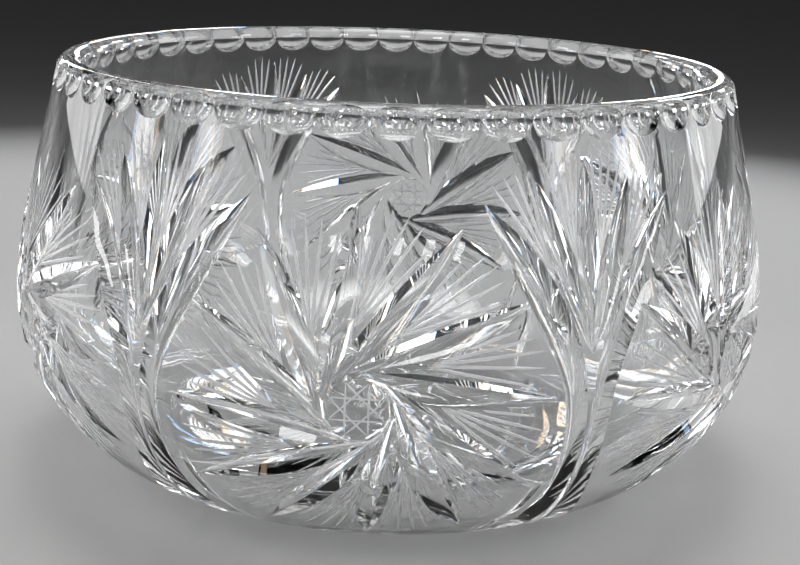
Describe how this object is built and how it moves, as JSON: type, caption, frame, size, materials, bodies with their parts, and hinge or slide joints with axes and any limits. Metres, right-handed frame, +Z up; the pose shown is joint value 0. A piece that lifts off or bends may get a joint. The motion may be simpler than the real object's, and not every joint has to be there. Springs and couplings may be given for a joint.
{
  "type": "punch bowl",
  "caption": "Heavy open bowl in cut crystal, with a straight leaning neck over a round belly, scalloped rim, pinwheels and fans.",
  "frame": {"origin": "centre of the flat base, on the surface that the bowl stands on", "axes": "+Z up along the bowl's axis, towards its mouth; a pinwheel is centred on -Y, and +X is to the right of someone facing it"},
  "size_m": [0.254, 0.254, 0.142],
  "materials": {
    "crystal": "polished"
  },
  "bodies": {
    "root": {"bowl": "crystal"}
  },
  "joints": []
}
